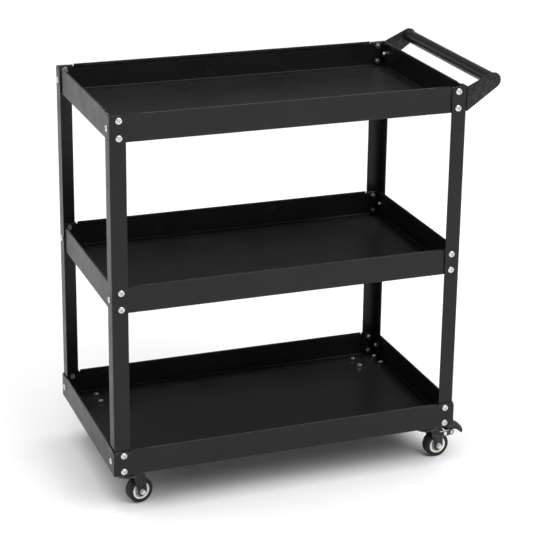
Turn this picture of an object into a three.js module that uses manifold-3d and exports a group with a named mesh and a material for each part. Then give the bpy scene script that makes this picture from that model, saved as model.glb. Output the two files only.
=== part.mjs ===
// Three-tier rolling tool cart in sheet steel.
// Four L-section posts carry three hemmed trays. A bar handle sits on the right-hand end, and four
// plate casters, two of them braked, are bolted under the bottom tray.
// Units are millimetres. +X runs along the cart towards the handle, -Y is the front, +Z is up.
// The origin is on the floor, in the middle of the whole cart's box.
import * as THREE from "three";
import { mergeVertices } from "three/addons/utils/BufferGeometryUtils.js";
import Module from "manifold-3d";

const wasm = await Module();
wasm.setup();

// ---------------------------------------------------------------- driving dimensions
const LENGTH = 690; // over the posts, along X
const WIDTH = 386; // over the posts, along Y
const TRAY_UNDERSIDE = 82; // floor to the bottom tray's underside
const RIM = 52; // height of every tray rim
const TIER = 322; // rim top to rim top
const RIM_TOPS = { bottom: 134, middle: 134 + TIER, top: 134 + 2 * TIER };

const POST_FLANGE = 30; // each leg of the L
const POST_SHEET = 2;
const POST_CORNER = 9; // rounded free corners at the post's ends
const POST_BEND = 3; // outside bend radius
const POST_TOP = RIM_TOPS.top - 2;
const POST_FOOT = TRAY_UNDERSIDE + 1.2 + 0.5;

const TRAY_SHEET = 1.2;
const HEM_HEIGHT = 7; // folded-over top edge
const HEM_FOLD = 1.5; // how far the fold stands in from the rim's inner face
const HEM_STOP = 34.5; // where the hem starts, from the post's outer face
const HEM_STEP = 1.6; // how much lower the rim is past the hem's end
const HEM_RELIEF = 2.2; // width of the relief notch at the hem's end
const FIT = 1.0; // room between a post flange and the rim that it is bolted to

const BOLT_INSET = 17; // bolt centre from the post's outer corner
const BOLT_UPPER = 10.5; // below the rim top
const BOLT_LOWER = 42.5;
const BOLT_SIDE = 26.5;
const BOLT_HEAD_R = 6.3;
const BOLT_HEAD_H = 2.8;
const BOLT_SHANK_R = 2.8;
const BOLT_HOLE_R = 3.4;
const NUT_R = 5.6;
const NUT_H = 4.8;
const WEB = 0.4; // hair-thin web that makes each corner's bolts one solid
const GAP = 0.3; // between pieces that touch

const HANDLE_TIP_X = 54.1; // tube axis past the post
const HANDLE_TIP_Z = 5.5; // tube axis above the top rim
const HANDLE_TIP_R = 15.4;
const HANDLE_SHEET = 2;
const HANDLE_FOOT = 50; // depth of the bracket below the top rim
const TUBE_R = 12.5;
const TUBE_WALL = 1.5;

const CASTER_INSET_X = 36; // kingpin from the post's outer faces
const CASTER_INSET_Y = 43;
const CASTER_TRAIL = 24; // kingpin to wheel axle
const WHEEL_R = 25;
const WHEEL_W = 21;
const PLATE_X = 64;
const PLATE_Y = 50;
const PLATE_T = 2.5;
const PLATE_HOLES_X = 50;
const PLATE_HOLES_Y = 36;
const FORK_INSIDE = 12.6; // half the gap between the fork's legs
const FORK_SHEET = 2.2;
const CROWN_R = 25;
const CASTER_SWIVEL = { fl: 12, fr: 4, rl: 6, rr: -5 }; // parked angles, degrees

const BRAKE_PIVOT = [36.5, -31]; // from the kingpin at the tray's underside: x, z
const BRAKE_CROSS = [51.6, -31];
const BRAKE_SHOE = [48.8, -43.4]; // tip of the shoe tongue, let off

// The whole cart's box runs from the left bolt heads to the handle's tip.
const LEFT_REACH = LENGTH / 2 + FIT + TRAY_SHEET + GAP + BOLT_HEAD_H;
const RIGHT_REACH = LENGTH / 2 + HANDLE_TIP_X + HANDLE_TIP_R;
const SHIFT_X = -(RIGHT_REACH - LEFT_REACH) / 2;

// ---------------------------------------------------------------- materials
const paint = () => new THREE.MeshStandardMaterial({ color: 0x1e1f21, roughness: 0.55, metalness: 0.25 });
const stamped = () => new THREE.MeshStandardMaterial({ color: 0x242327, roughness: 0.45, metalness: 0.4 });
const zinc = () => new THREE.MeshStandardMaterial({ color: 0xc9ccd0, roughness: 0.3, metalness: 0.9 });
const rubber = () => new THREE.MeshStandardMaterial({ color: 0x17171a, roughness: 0.8, metalness: 0 });
const hubPlastic = () => new THREE.MeshStandardMaterial({ color: 0xd9d2c6, roughness: 0.4, metalness: 0.1 });
const pedalPlastic = () => new THREE.MeshStandardMaterial({ color: 0x18181b, roughness: 0.5, metalness: 0 });

// ---------------------------------------------------------------- solid helpers
function solid(geometry, matrix) {
  let g = geometry.index ? geometry.toNonIndexed() : geometry.clone();
  g = new THREE.BufferGeometry().setAttribute("position", g.getAttribute("position"));
  if (matrix) g.applyMatrix4(matrix);
  const m = mergeVertices(g, 1e-4);
  const tri = new Uint32Array(m.index.array);
  if (matrix && matrix.determinant() < 0)
    for (let i = 0; i < tri.length; i += 3) [tri[i + 1], tri[i + 2]] = [tri[i + 2], tri[i + 1]];
  return new wasm.Manifold(
    new wasm.Mesh({ numProp: 3, vertProperties: new Float32Array(m.attributes.position.array), triVerts: tri }),
  );
}

function geometryOf(manifold) {
  const m = manifold.getMesh();
  const v = new Float32Array(m.numVert * 3);
  for (let i = 0; i < m.numVert; i++) v.set(m.vertProperties.subarray(i * m.numProp, i * m.numProp + 3), i * 3);
  const g = new THREE.BufferGeometry();
  g.setAttribute("position", new THREE.BufferAttribute(v, 3));
  g.setIndex(new THREE.BufferAttribute(new Uint32Array(m.triVerts), 1));
  g.computeVertexNormals();
  return g;
}

const T = (x, y, z) => new THREE.Matrix4().makeTranslation(x, y, z);
const basis = (x, y, z) =>
  new THREE.Matrix4().makeBasis(new THREE.Vector3(...x), new THREE.Vector3(...y), new THREE.Vector3(...z));
const box = (x0, x1, y0, y1, z0, z1) =>
  solid(new THREE.BoxGeometry(x1 - x0, y1 - y0, z1 - z0), T((x0 + x1) / 2, (y0 + y1) / 2, (z0 + z1) / 2));

// A flat outline, drawn as [across, up] points, stood up in the XZ or YZ plane and given a thickness.
function shapeOf(points) {
  const s = new THREE.Shape();
  points.forEach(([a, b], i) => (i ? s.lineTo(a, b) : s.moveTo(a, b)));
  s.closePath();
  return s;
}
const extrude = (shape, depth, curveSegments = 6) =>
  new THREE.ExtrudeGeometry(shape, { depth, bevelEnabled: false, curveSegments });
function plateXZ(points, y0, y1) {
  // extrusion axis +Z becomes -Y, so the piece starts at y1
  return solid(extrude(shapeOf(points), y1 - y0), T(0, y1, 0).multiply(basis([1, 0, 0], [0, 0, 1], [0, -1, 0])));
}
function plateYZ(points, x0, x1) {
  return solid(extrude(shapeOf(points), x1 - x0), T(x0, 0, 0).multiply(basis([0, 1, 0], [0, 0, 1], [1, 0, 0])));
}
function plateXY(points, z0, z1) {
  return solid(extrude(shapeOf(points), z1 - z0), T(0, 0, z0));
}
// A round piece about Z from an [r, z] profile that starts and ends on the axis.
function turned(profile, segments) {
  const pts = profile.map(([r, z]) => new THREE.Vector2(r, z));
  return solid(new THREE.LatheGeometry(pts, segments), basis([1, 0, 0], [0, 0, 1], [0, -1, 0]));
}
// The same profile laid along a direction.
const along = {
  "+x": basis([0, 1, 0], [0, 0, 1], [1, 0, 0]),
  "-x": basis([0, -1, 0], [0, 0, 1], [-1, 0, 0]),
  "+y": basis([0, 0, 1], [1, 0, 0], [0, 1, 0]),
  "-y": basis([0, 0, -1], [1, 0, 0], [0, -1, 0]),
  "+z": new THREE.Matrix4(),
  "-z": basis([1, 0, 0], [0, -1, 0], [0, 0, -1]),
};
const put = (m, dir, x, y, z) => m.transform(T(x, y, z).multiply(along[dir]).toArray());
const rod = (r, length, dir, x, y, z, segments = 6) =>
  put(turned([[0, 0], [r, 0], [r, length], [0, length]], segments), dir, x, y, z);
const union = (list) => list.reduce((a, b) => a.add(b));

function arc(cx, cz, r, from, to, steps) {
  const out = [];
  for (let i = 0; i <= steps; i++) {
    const a = ((from + ((to - from) * i) / steps) * Math.PI) / 180;
    out.push([cx + r * Math.cos(a), cz + r * Math.sin(a)]);
  }
  return out;
}
const flip = (points) => points.map(([a, b]) => [-a, b]).reverse();

const cart = new THREE.Group();
const placed = new THREE.Group();
placed.position.set(SHIFT_X, 0, 0);
cart.add(placed);
function add(parent, name, manifold, material) {
  const mesh = new THREE.Mesh(geometryOf(manifold), material);
  mesh.name = name;
  parent.add(mesh);
  return mesh;
}

// ---------------------------------------------------------------- trays
// reachX and reachY are the half sizes over the rims' outer faces.
function makeTray(name, reachX, reachY, rimTop, casterHoles) {
  const base = rimTop - RIM;
  const s = TRAY_SHEET;
  const slit = 0.8; // open, unwelded corner
  const low = rimTop - HEM_STEP;
  const stopX = LENGTH / 2 - HEM_STOP; // hem ends, measured from the middle
  const stopY = WIDTH / 2 - HEM_STOP;
  // the rim's outline: full height between the hem's ends, a relief notch and a step past them, rounded end corners
  const rim = (half, stop) => [
    [-half, base],
    [half, base],
    ...arc(half - 5, low - 5, 5, 0, 90, 3),
    [stop + HEM_RELIEF, low],
    [stop + HEM_RELIEF - 0.4, low - 3.4],
    [stop + 0.4, low - 3.4],
    [stop, rimTop],
    [-stop, rimTop],
    [-stop - 0.4, low - 3.4],
    [-stop - HEM_RELIEF + 0.4, low - 3.4],
    [-stop - HEM_RELIEF, low],
    ...arc(-half + 5, low - 5, 5, 90, 180, 3),
  ];
  const longRim = rim(reachX, stopX);
  const endRim = rim(reachY - s - slit, stopY);
  const pieces = [box(-reachX, reachX, -reachY, reachY, base, base + s)];
  pieces.push(plateXZ(longRim, -reachY, -reachY + s), plateXZ(longRim, reachY - s, reachY));
  pieces.push(plateYZ(endRim, -reachX, -reachX + s), plateYZ(endRim, reachX - s, reachX));
  // hems: the rim's top edge folded down inside, with a rounded fold
  const fold = [
    [-0.2, -HEM_HEIGHT],
    [HEM_FOLD, -HEM_HEIGHT],
    [HEM_FOLD, -0.7],
    [HEM_FOLD - 0.6, 0],
    [-0.2, 0],
  ];
  const hemAlong = (pts, half, matrix) => solid(extrude(shapeOf(pts), 2 * half - 0.8), matrix.multiply(T(0, 0, 0.4 - half)));
  // [in, up] outline swept along X for the long sides and along Y for the ends
  pieces.push(
    hemAlong(fold, stopX, T(0, -reachY + s, rimTop).multiply(basis([0, 1, 0], [0, 0, 1], [1, 0, 0]))),
    hemAlong(flip(fold), stopX, T(0, reachY - s, rimTop).multiply(basis([0, 1, 0], [0, 0, 1], [1, 0, 0]))),
    hemAlong(fold, stopY, T(-reachX + s, 0, rimTop).multiply(basis([1, 0, 0], [0, 0, 1], [0, -1, 0]))),
    hemAlong(flip(fold), stopY, T(reachX - s, 0, rimTop).multiply(basis([1, 0, 0], [0, 0, 1], [0, -1, 0]))),
  );
  let tray = union(pieces);
  const holes = [];
  for (const sx of [-1, 1])
    for (const sy of [-1, 1]) {
      const x = sx * (LENGTH / 2 - BOLT_INSET);
      const y = sy * (WIDTH / 2 - BOLT_INSET);
      for (const d of [BOLT_UPPER, BOLT_LOWER])
        holes.push(rod(BOLT_HOLE_R, 4, "+y", x, sy * (reachY - s / 2) - 2, rimTop - d));
      holes.push(rod(BOLT_HOLE_R, 4, "+x", sx * (reachX - s / 2) - 2, y, rimTop - BOLT_SIDE));
      if (casterHoles)
        for (const hx of [-1, 1])
          for (const hy of [-1, 1])
            holes.push(
              rod(
                BOLT_HOLE_R,
                4,
                "+z",
                sx * (LENGTH / 2 - CASTER_INSET_X) + (hx * PLATE_HOLES_X) / 2,
                sy * (WIDTH / 2 - CASTER_INSET_Y) + (hy * PLATE_HOLES_Y) / 2,
                base - 1.4,
              ),
            );
    }
  tray = tray.subtract(union(holes));
  add(placed, name, tray, paint());
}
const INNER_X = LENGTH / 2 - POST_SHEET - FIT;
const INNER_Y = WIDTH / 2 - POST_SHEET - FIT;
const OUTER_X = LENGTH / 2 + FIT + TRAY_SHEET;
const OUTER_Y = WIDTH / 2 + FIT + TRAY_SHEET;
makeTray("tray_top", INNER_X, INNER_Y, RIM_TOPS.top, false);
makeTray("tray_middle", INNER_X, INNER_Y, RIM_TOPS.middle, false);
makeTray("tray_bottom", OUTER_X, OUTER_Y, RIM_TOPS.bottom, true);

// ---------------------------------------------------------------- posts
const CORNERS = { fl: [-1, -1], fr: [1, -1], rl: [-1, 1], rr: [1, 1] };
// Built for the rear right corner about its own outer corner, then mirrored into place.
function makePost(name, sx, sy) {
  const f = POST_FLANGE;
  const r = POST_CORNER;
  const outline = [
    [-f, POST_FOOT + r],
    ...arc(-f + r, POST_FOOT + r, r, 180, 270, 4).slice(1),
    [0, POST_FOOT],
    [0, POST_TOP],
    ...arc(-f + r, POST_TOP - r, r, 90, 180, 4),
  ];
  const ccw = outline; // counter-clockwise in [across, up]
  let post = plateXZ(ccw, -POST_SHEET, 0).add(plateYZ(ccw, -POST_SHEET, 0));
  const b = POST_BEND;
  const column = [[-f - 1, -f - 1], [0, -f - 1], ...arc(-b, -b, b, 0, 90, 3), [-f - 1, 0]];
  post = post.intersect(plateXY(column, POST_FOOT - 1, POST_TOP + 1));
  const holes = [];
  for (const top of Object.values(RIM_TOPS)) {
    for (const d of [BOLT_UPPER, BOLT_LOWER]) holes.push(rod(BOLT_HOLE_R, 6, "+y", -BOLT_INSET, -4, top - d));
    holes.push(rod(BOLT_HOLE_R, 6, "+x", -4, -BOLT_INSET, top - BOLT_SIDE));
  }
  post = post.subtract(union(holes));
  post = post.transform(new THREE.Matrix4().makeScale(sx, sy, 1).toArray());
  post = post.transform(T((sx * LENGTH) / 2, (sy * WIDTH) / 2, 0).toArray());
  add(placed, name, post, paint());
}
for (const [c, [sx, sy]] of Object.entries(CORNERS)) makePost("post_" + c, sx, sy);

// ---------------------------------------------------------------- handle
function makeBracket(name, sy) {
  const x0 = LENGTH / 2 + GAP;
  const cx = LENGTH / 2 + HANDLE_TIP_X;
  const cz = RIM_TOPS.top + HANDLE_TIP_Z;
  const foot = RIM_TOPS.top - HANDLE_FOOT;
  const tangent = (px, pz, side) => {
    const dx = cx - px;
    const dz = cz - pz;
    return ((Math.atan2(dz, dx) + side * Math.acos(HANDLE_TIP_R / Math.hypot(dx, dz)) + Math.PI) * 180) / Math.PI;
  };
  const a0 = tangent(x0, foot, 1) - 360;
  const a1 = tangent(x0, POST_TOP, -1);
  const arm = [[x0, foot], ...arc(cx, cz, HANDLE_TIP_R, a0, a1, 10), [x0, POST_TOP]];
  const y = WIDTH / 2;
  let bracket = plateXZ(arm, y - HANDLE_SHEET, y);
  const flange = [
    [y - POST_FLANGE, foot + 6],
    ...arc(y - POST_FLANGE + 6, foot + 6, 6, 180, 270, 3).slice(1),
    [y, foot],
    [y, POST_TOP],
    ...arc(y - POST_FLANGE + 6, POST_TOP - 6, 6, 90, 180, 3),
  ];
  bracket = bracket.add(plateYZ(flange, x0, x0 + HANDLE_SHEET));
  // bend radius on the outer edge
  const b = 2.4;
  bracket = bracket.intersect(plateXY([[x0, y - 40], [x0 + 90, y - 40], [x0 + 90, y], ...arc(x0 + b, y - b, b, 90, 180, 3)], foot - 1, cz + 40));
  bracket = bracket.subtract(rod(BOLT_HOLE_R, 6, "+x", x0 - 2, y - BOLT_INSET, RIM_TOPS.top - BOLT_SIDE));
  if (sy < 0) bracket = bracket.transform(new THREE.Matrix4().makeScale(1, -1, 1).toArray());
  add(placed, name, bracket, paint());
}
makeBracket("handle_bracket_front", -1);
makeBracket("handle_bracket_rear", 1);
{
  const half = WIDTH / 2 - HANDLE_SHEET - GAP;
  const ring = new THREE.Shape().absarc(0, 0, TUBE_R, 0, 2 * Math.PI, false);
  ring.holes.push(new THREE.Path().absarc(0, 0, TUBE_R - TUBE_WALL, 0, 2 * Math.PI, true));
  const tube = solid(
    extrude(ring, 2 * half, 12),
    T(LENGTH / 2 + HANDLE_TIP_X, half, RIM_TOPS.top + HANDLE_TIP_Z).multiply(basis([1, 0, 0], [0, 0, 1], [0, -1, 0])),
  );
  add(placed, "handle_tube", tube, paint());
}

// ---------------------------------------------------------------- bolts and nuts
// Head top at z = head height, grip below zero, nut at the far end.
function bolt(grip, headR = BOLT_HEAD_R, headH = BOLT_HEAD_H, shankR = BOLT_SHANK_R) {
  return turned(
    [
      [0, -grip - NUT_H],
      [NUT_R, -grip - NUT_H],
      [NUT_R, -grip],
      [shankR, -grip],
      [shankR, 0],
      [headR, 0],
      [headR - 1.3, headH],
      [0, headH],
    ],
    6,
  );
}
// One corner of one tier: two bolts through the long side, one through the end, with their nuts.
function cornerSet(name, sx, sy, tier) {
  const top = RIM_TOPS[tier];
  const outside = tier === "bottom"; // here the rim laps outside the post
  const head = outside ? FIT + TRAY_SHEET + GAP : GAP; // head's seat, out from the post's face
  const nut = outside ? POST_SHEET + GAP : POST_SHEET + FIT + TRAY_SHEET + GAP; // nut's seat, in from it
  const webAt = outside ? GAP + WEB / 2 : -(POST_SHEET + FIT / 2); // web's middle, out from it
  const bracket = tier === "top" && sx > 0 ? GAP + HANDLE_SHEET : 0;
  const x = LENGTH / 2 - BOLT_INSET;
  const y = WIDTH / 2 - BOLT_INSET;
  const list = [
    put(bolt(head + nut), "+y", x, WIDTH / 2 + head, top - BOLT_UPPER),
    put(bolt(head + nut), "+y", x, WIDTH / 2 + head, top - BOLT_LOWER),
    put(bolt(head + nut + bracket), "+x", LENGTH / 2 + head + bracket, y, top - BOLT_SIDE),
  ];
  const wy = WIDTH / 2 + webAt;
  const wx = LENGTH / 2 + webAt;
  list.push(box(x - 2, x + 2, wy - WEB / 2, wy + WEB / 2, top - BOLT_LOWER, top - BOLT_UPPER));
  // the web turns the corner outside the post's bend, or outside the tray's corner
  list.push(
    box(x, wx + WEB / 2, wy - WEB / 2, wy + WEB / 2, top - BOLT_SIDE - 2, top - BOLT_SIDE + 2),
    box(wx - WEB / 2, wx + WEB / 2, y, wy, top - BOLT_SIDE - 2, top - BOLT_SIDE + 2),
  );
  const m = union(list).transform(new THREE.Matrix4().makeScale(sx, sy, 1).toArray());
  add(placed, name, m, zinc());
}
for (const tier of ["top", "middle", "bottom"])
  for (const [c, [sx, sy]] of Object.entries(CORNERS)) cornerSet("bolts_" + tier + "_" + c, sx, sy, tier);

// The four bolts of one caster plate: heads under the plate, nuts on the tray floor.
function plateSet(name, kx, ky) {
  const z = TRAY_UNDERSIDE;
  const list = [];
  const grip = GAP + PLATE_T + GAP + TRAY_SHEET + GAP;
  for (const hx of [-1, 1])
    for (const hy of [-1, 1])
      list.push(
        put(bolt(grip, 5.2, 2.6, 2.6), "-z", kx + (hx * PLATE_HOLES_X) / 2, ky + (hy * PLATE_HOLES_Y) / 2, z - GAP - PLATE_T - GAP),
      );
  const t = 0.06; // a hair of web in the joint between plate and tray
  const px = PLATE_HOLES_X / 2;
  const py = PLATE_HOLES_Y / 2;
  const z0 = z - GAP / 2 - t / 2;
  list.push(box(kx - px, kx + px, ky - py - 1.5, ky - py + 1.5, z0, z0 + t));
  list.push(box(kx - px, kx + px, ky + py - 1.5, ky + py + 1.5, z0, z0 + t));
  list.push(box(kx + px - 1.5, kx + px + 1.5, ky - py, ky + py, z0, z0 + t));
  add(placed, name, union(list), zinc());
}

// ---------------------------------------------------------------- casters
// Local frame: kingpin on Z, z = 0 at the tray's underside, wheel trails along +X.
const AXLE_Z = WHEEL_R - TRAY_UNDERSIDE;
function makeCaster(c, sx, sy, braked) {
  const kx = sx * (LENGTH / 2 - CASTER_INSET_X);
  const ky = sy * (WIDTH / 2 - CASTER_INSET_Y);
  const fixed = new THREE.Group();
  fixed.position.set(kx, ky, TRAY_UNDERSIDE);
  placed.add(fixed);
  const turning = new THREE.Group();
  turning.position.copy(fixed.position);
  turning.rotation.z = (CASTER_SWIVEL[c] * Math.PI) / 180;
  placed.add(turning);

  // top plate with the upper ball race pressed into it
  const px = PLATE_X / 2;
  const py = PLATE_Y / 2;
  const q = 5;
  let plate = plateXY(
    [
      [-px + q, -py], [px - q, -py], [px - 1.5, -py + 1.5], [px, -py + q], [px, py - q], [px - 1.5, py - 1.5],
      [px - q, py], [-px + q, py], [-px + 1.5, py - 1.5], [-px, py - q], [-px, -py + q], [-px + 1.5, -py + 1.5],
    ],
    -GAP - PLATE_T,
    -GAP,
  );
  plate = plate.add(turned([[0, -6.6], [19, -6.6], [21, -4.4], [21, -GAP - PLATE_T + 0.2], [0, -GAP - PLATE_T + 0.2]], 16));
  const cuts = [rod(5, 10, "+z", 0, 0, -9, 8), turned([[0, -2], [7.4, -2], [7.4, 1], [0, 1]], 8)];
  for (const hx of [-1, 1])
    for (const hy of [-1, 1]) cuts.push(rod(3.3, 6, "+z", (hx * PLATE_HOLES_X) / 2, (hy * PLATE_HOLES_Y) / 2, -5));
  add(fixed, "caster_plate_" + c, plate.subtract(union(cuts)), stamped());

  // kingpin, riveted over in the plate's counterbore and headed under the crown
  add(
    fixed,
    "caster_kingpin_" + c,
    turned([[0, -17.4], [8, -17.4], [8, -14.6], [4.5, -14.6], [4.5, -1.7], [6.8, -1.7], [6.8, -0.6], [0, -0.6]], 8),
    zinc(),
  );
  // ring of bearing balls between the two races, drawn as one ring
  {
    const s = new THREE.Shape().absarc(0, 0, 17, 0, 2 * Math.PI, false);
    s.holes.push(new THREE.Path().absarc(0, 0, 13.4, 0, 2 * Math.PI, true));
    add(turning, "caster_ball_ring_" + c, solid(extrude(s, 3.4, 8), T(0, 0, -10.3)), zinc());
  }
  // fork: shallow crown with a turned-down skirt, and two legs that lean back to the axle
  {
    const crown = turned(
      [[0, -13.4], [CROWN_R - 2.4, -13.4], [CROWN_R - 2.2, -17.6], [CROWN_R, -17.6], [CROWN_R, -13.2], [CROWN_R - 2.6, -10.6], [0, -10.6]],
      20,
    );
    const ax = CASTER_TRAIL;
    const ear = braked
      ? [[34.5, -38], [40, -35.5], [BRAKE_PIVOT[0] + 5, BRAKE_PIVOT[1] + 1], [BRAKE_PIVOT[0] + 2, BRAKE_PIVOT[1] + 5.2], [31.5, -24]]
      : [[31.5, -30]];
    const leg = [
      [4.5, -12.2],
      [6, -22],
      [9, -36],
      [13, -48],
      ...arc(ax, AXLE_Z, 9.5, 165, 360, 6),
      [33.2, -47],
      ...ear,
      [29.5, -12.2],
    ];
    const half = FORK_INSIDE;
    let fork = crown.add(plateXZ(leg, -half - FORK_SHEET, -half)).add(plateXZ(leg, half, half + FORK_SHEET));
    // the legs stay inside the crown's skirt
    const cuts = [rod(5, 8, "+z", 0, 0, -16, 8), rod(3.4, 60, "+y", ax, -30, AXLE_Z)];
    if (braked) cuts.push(rod(2.5, 60, "+y", BRAKE_PIVOT[0], -30, BRAKE_PIVOT[1]));
    add(turning, "caster_fork_" + c, fork.subtract(union(cuts)), stamped());
  }
  const out = FORK_INSIDE + FORK_SHEET + GAP; // outside face of a leg
  // axle bolt with its nut on the front side
  {
    const axle = turned(
      [[0, -out - 3.6], [5.8, -out - 3.6], [5.8, -out], [2.9, -out], [2.9, out], [5.8, out], [5.8, out + 4.8], [3, out + 4.8], [3, out + 6.6], [0, out + 6.6]],
      8,
    );
    add(turning, "caster_axle_" + c, put(axle, "-y", CASTER_TRAIL, 0, AXLE_Z), zinc());
  }
  // wheel: hub and rubber tyre
  {
    const w = WHEEL_W / 2;
    const hub = turned(
      [[0, -w + 0.4], [6.5, -w + 0.4], [6.5, -w + 2.2], [17.3, -w + 1.4], [17.3, w - 1.4], [6.5, w - 2.2], [6.5, w - 0.4], [0, w - 0.4]],
      16,
    ).subtract(rod(3.4, 40, "+z", 0, 0, -20));
    add(turning, "caster_hub_" + c, put(hub, "-y", CASTER_TRAIL, 0, AXLE_Z), hubPlastic());
    // the tyre's facets are tangent to its true round, and one of them lies flat on the floor
    const sides = 24;
    const r = WHEEL_R / Math.cos(Math.PI / sides);
    const turn = new THREE.Matrix4().makeRotationZ(Math.PI / sides);
    const tyre = turned([[0, -w], [r - 3, -w], [r, -w + 4], [r, w - 4], [r - 3, w], [0, w]], sides)
      .transform(turn.toArray())
      .subtract(rod(17.7, 60, "+z", 0, 0, -30, 16));
    add(turning, "caster_tyre_" + c, put(tyre, "-y", CASTER_TRAIL, 0, AXLE_Z), rubber());
  }
  if (braked) {
    const [bx, bz] = BRAKE_PIVOT;
    const [qx, qz] = BRAKE_CROSS;
    // pivot pin across the fork's ears
    const lug = out + 1.6 + GAP;
    add(
      turning,
      "brake_pivot_" + c,
      put(
        turned([[0, -lug - 1.8], [3.9, -lug - 1.8], [3.9, -lug], [2.1, -lug], [2.1, lug], [3.9, lug], [3.9, lug + 1.8], [0, lug + 1.8]], 8),
        "-y",
        bx,
        0,
        bz,
      ),
      zinc(),
    );
    // lever: two side plates outside the ears, a top web, and a shoe tongue that reaches for the tyre
    const side = [
      [bx - 4, bz - 2.5], [bx, bz - 4.4], [qx, qz - 5], [qx + 5, qz - 3], [qx + 5.5, qz + 4], [qx, qz + 5.5], [bx, bz + 4.4], [bx - 4, bz + 2.5],
    ];
    const reach = out + 1.6;
    let lever = plateXZ(side, out, reach).add(plateXZ(side, -reach, -out));
    lever = lever.add(rod(2, 2 * out + 0.4, "+y", qx, -out - 0.2, qz));
    for (const dir of ["-y", "+y"])
      lever = lever.add(put(turned([[0, 0], [3.8, 0], [3.3, 1.8], [0, 1.8]], 8), dir, qx, (dir === "+y" ? 1 : -1) * (reach - 0.1), qz));
    lever = lever.add(plateXZ([[43, -30.4], [57, -30.4], [57, -28.8], [43, -28.8]], -reach, reach));
    // fingers that run back along the outside of the fork's legs
    const finger = [[24, -26.6], [44, -26.8], [44, -24.9], [24, -24.6]];
    lever = lever.add(plateXZ(finger, out, reach)).add(plateXZ(finger, -reach, -out));
    const shoe = [[qx - 1.6, qz + 1.5], [BRAKE_SHOE[0], BRAKE_SHOE[1]], [BRAKE_SHOE[0] + 1.6, BRAKE_SHOE[1] - 0.5], [qx + 1, qz - 2], [qx + 1, qz + 1.5]];
    lever = lever.add(plateXZ(shoe, -8, 8));
    // tongue of the web, bent up and into the pedal
    const tongue = (g) => [
      [47.5 - g, -29.4], [49.1 + g, -29.4], [49.1 + g, -24.4 - g], [66 + g, -24.4 - g], [66 + g, -22.8 + g], [47.5 - g, -22.8 + g],
    ];
    lever = lever.add(plateXZ(tongue(0), -7, 7)).subtract(rod(2.5, 60, "+y", bx, -30, bz));
    add(turning, "brake_lever_" + c, lever, zinc());
    // foot pedal, pushed on over the tongue
    const skin = [
      [44, -23.9], [46.5, -21.6], [50, -19.6], [55, -17.6], [61, -16.6], [67, -17.3], [72.5, -19.9], [77, -23.8], [80.4, -28.8], [82, -34],
      [82, -37.8], [80.8, -40.4], [78.6, -40.8], [76.4, -39], [75, -36.4], [73, -33], [70, -30], [66.5, -28.4], [62, -27.8], [44.4, -27.4],
    ].reverse();
    const pedal = plateXZ(skin, -11.5, 11.5).subtract(plateXZ(tongue(GAP), -7 - GAP, 7 + GAP));
    add(turning, "brake_pedal_" + c, pedal, pedalPlastic());
  }
  plateSet("bolts_caster_" + c, kx, ky);
}
makeCaster("fl", -1, -1, false);
makeCaster("fr", 1, -1, true);
makeCaster("rl", -1, 1, false);
makeCaster("rr", 1, 1, true);

export default cart;
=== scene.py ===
import math
import random
import bpy
import bmesh
from mathutils import Matrix, Vector


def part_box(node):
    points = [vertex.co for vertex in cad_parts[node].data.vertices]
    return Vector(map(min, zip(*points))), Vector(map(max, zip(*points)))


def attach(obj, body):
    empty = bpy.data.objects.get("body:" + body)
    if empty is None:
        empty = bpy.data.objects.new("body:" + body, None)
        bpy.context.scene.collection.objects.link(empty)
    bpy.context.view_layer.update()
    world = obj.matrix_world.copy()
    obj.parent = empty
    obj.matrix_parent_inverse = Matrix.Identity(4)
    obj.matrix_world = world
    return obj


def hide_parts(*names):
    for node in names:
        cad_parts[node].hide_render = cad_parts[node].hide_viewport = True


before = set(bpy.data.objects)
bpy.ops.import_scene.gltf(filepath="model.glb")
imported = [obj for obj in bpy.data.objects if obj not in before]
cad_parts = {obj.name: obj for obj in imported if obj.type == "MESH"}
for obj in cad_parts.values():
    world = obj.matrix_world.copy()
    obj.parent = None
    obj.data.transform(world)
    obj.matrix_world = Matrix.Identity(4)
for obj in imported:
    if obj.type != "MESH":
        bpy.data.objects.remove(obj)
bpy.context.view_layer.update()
random.seed(7)

# ------------------------------------------------------------------ dimensions, metres
MM = 0.001
LENGTH, WIDTH = 690.0, 386.0
POST_FLANGE, POST_SHEET, POST_CORNER = 30.0, 2.0, 9.0
RIM, TRAY_SHEET = 52.0, 1.2
TOPS = {"top": 778.0, "middle": 456.0, "bottom": 134.0}
UNDER = 82.0
FIT, GAP = 1.0, 0.3
BOLT_INSET, BOLT_UPPER, BOLT_LOWER, BOLT_SIDE = 17.0, 10.5, 42.5, 26.5
TIP_X, TIP_Z, TIP_R = 54.1, 5.5, 15.25
TRAIL, AXLE_Z = 24.0, 25.0 - UNDER
SWIVEL = {"fl": 12.0, "fr": 4.0, "rl": 6.0, "rr": -5.0}
CORNERS = {"fl": (-1, -1), "fr": (1, -1), "rl": (-1, 1), "rr": (1, 1)}

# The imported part's posts give the shift between the structure's middle and the frame's origin.
lo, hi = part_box("post_fl")[0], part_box("post_fr")[1]
SHIFT = (lo.x + hi.x) / 2 / MM

# ------------------------------------------------------------------ helpers
def obj_from(bm, name, smooth=40.0):
    bmesh.ops.recalc_face_normals(bm, faces=bm.faces[:])
    me = bpy.data.meshes.new(name)
    bm.to_mesh(me)
    bm.free()
    ob = bpy.data.objects.new(name, me)
    bpy.context.scene.collection.objects.link(ob)
    for p in me.polygons:
        p.use_smooth = True
    if smooth is not None:
        me.set_sharp_from_angle(angle=math.radians(smooth))
    return ob


def apply_modifiers(ob):
    deps = bpy.context.evaluated_depsgraph_get()
    me = bpy.data.meshes.new_from_object(ob.evaluated_get(deps))
    old = ob.data
    ob.modifiers.clear()
    ob.data = me
    bpy.data.meshes.remove(old)
    return ob


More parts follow.
